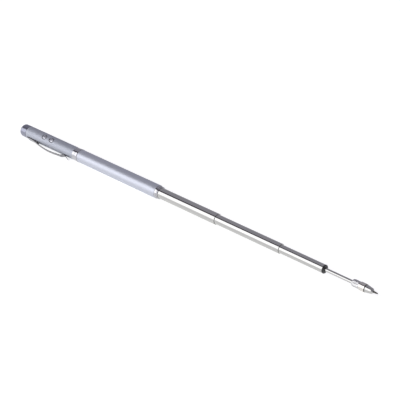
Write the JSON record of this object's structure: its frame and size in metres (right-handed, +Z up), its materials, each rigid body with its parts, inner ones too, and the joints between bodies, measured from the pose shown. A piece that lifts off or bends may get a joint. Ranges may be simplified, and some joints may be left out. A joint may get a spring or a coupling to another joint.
{
  "type": "magnetic pickup tool",
  "caption": "Pocket pick-up tool: telescopic pointer with a ring magnet and ball pen at its nose, and a lamp and laser head with push buttons and a clip.",
  "frame": {"origin": "centre of the flat rear face of the light head, on the tool's axis", "axes": "+X along the tool's axis, from the light head to the writing point; +Z up as it lies on a surface, rolled onto its pocket clip, which points down and to -Y"},
  "size_m": [0.3644, 0.0133, 0.0109],
  "materials": {
    "head_chrome": "polished",
    "satin_aluminium": "satin anodised",
    "tube_chrome": "polished",
    "clip_steel": "polished spring steel",
    "brass": "plain",
    "spring_steel": "plain",
    "nose_steel": "finely knurled",
    "magnet_nickel": "nickel plated",
    "point_steel": "plain",
    "clear_lens": "clear",
    "lamp_resin": "clear resin",
    "board_green": "solder mask",
    "black_plastic": "moulded",
    "black_rubber": "matt",
    "button_silver": "metallic",
    "white_plastic": "moulded",
    "refill_plastic": "translucent"
  },
  "bodies": {
    "grip": {"joint_ring": "head_chrome", "battery_spring": "spring_steel", "lower_barrel": "satin_aluminium", "front_collar": "head_chrome"},
    "battery_stack": {"battery_cell_1": "spring_steel", "battery_cell_2": "spring_steel", "battery_cell_3": "spring_steel"},
    "light_head": {"end_cap": "head_chrome", "laser_module": "brass", "laser_lens": "clear_lens", "led_lamp": "lamp_resin", "upper_barrel": "satin_aluminium", "circuit_board": "board_green", "battery_liner": "white_plastic", "cell_contact": "brass", "upper_ring": "head_chrome", "led_switch": "black_plastic", "laser_switch": "black_plastic", "led_button_seat": "black_rubber", "laser_button_seat": "black_rubber"},
    "clip": {"pocket_clip": "clip_steel"},
    "led_key": {"led_button": "button_silver", "led_plunger": "white_plastic"},
    "laser_key": {"laser_button": "button_silver", "laser_plunger": "white_plastic"},
    "stage_1": {"tube_1": "tube_chrome", "tube_1_shoe": "brass"},
    "stage_2": {"tube_2": "tube_chrome", "tube_2_shoe": "brass"},
    "stage_3": {"tube_3": "tube_chrome", "tube_3_shoe": "brass", "tip_bush": "black_plastic"},
    "rod_and_nose": {"pointer_rod": "tube_chrome", "rod_shoe": "brass", "nose_ferrule": "nose_steel", "ring_magnet": "magnet_nickel", "magnet_washer": "black_rubber", "nose_cone": "tube_chrome", "ink_refill": "refill_plastic", "refill_point": "point_steel", "writing_ball": "point_steel"}
  },
  "joints": [
    {"name": "tube_1_slide", "type": "slide", "parent": "grip", "child": "stage_1", "axis": [1, 0, 0], "range_m": [-0.0571, 0.01635]},
    {"name": "tube_2_slide", "type": "slide", "parent": "stage_1", "child": "stage_2", "axis": [1, 0, 0], "range_m": [-0.0591, 0.01992]},
    {"name": "tube_3_slide", "type": "slide", "parent": "stage_2", "child": "stage_3", "axis": [1, 0, 0], "range_m": [-0.0377, 0.04052]},
    {"name": "rod_slide", "type": "slide", "parent": "stage_3", "child": "rod_and_nose", "axis": [1, 0, 0], "range_m": [-0.0221, 0.04985]},
    {"name": "head_travel", "type": "slide", "parent": "grip", "child": "battery_stack", "axis": [-1, 0, 0], "range_m": [0, 0.0045]},
    {"name": "head_unscrew", "type": "hinge", "parent": "battery_stack", "child": "light_head", "pos_m": [0.0708, 0, 0], "axis": [-1, 0, 0], "range_deg": [0, 2165]},
    {"name": "clip_flex", "type": "hinge", "parent": "light_head", "child": "clip", "pos_m": [0.0114, -0.00429, -0.00267], "axis": [0, 0.5277, -0.8494], "range_deg": [0, 3], "stiffness_Nm_per_rad": 0.6},
    {"name": "led_button_press", "type": "slide", "parent": "light_head", "child": "led_key", "axis": [0, 0.5997, -0.8002], "range_m": [0, 0.0004], "stiffness_N_per_m": 1500},
    {"name": "laser_button_press", "type": "slide", "parent": "light_head", "child": "laser_key", "axis": [0, 0.5997, -0.8002], "range_m": [0, 0.0004], "stiffness_N_per_m": 1500}
  ],
  "couplings": [
    {"joint": "head_unscrew", "follows": "head_travel", "rad_per_m": 8377.6}
  ]
}
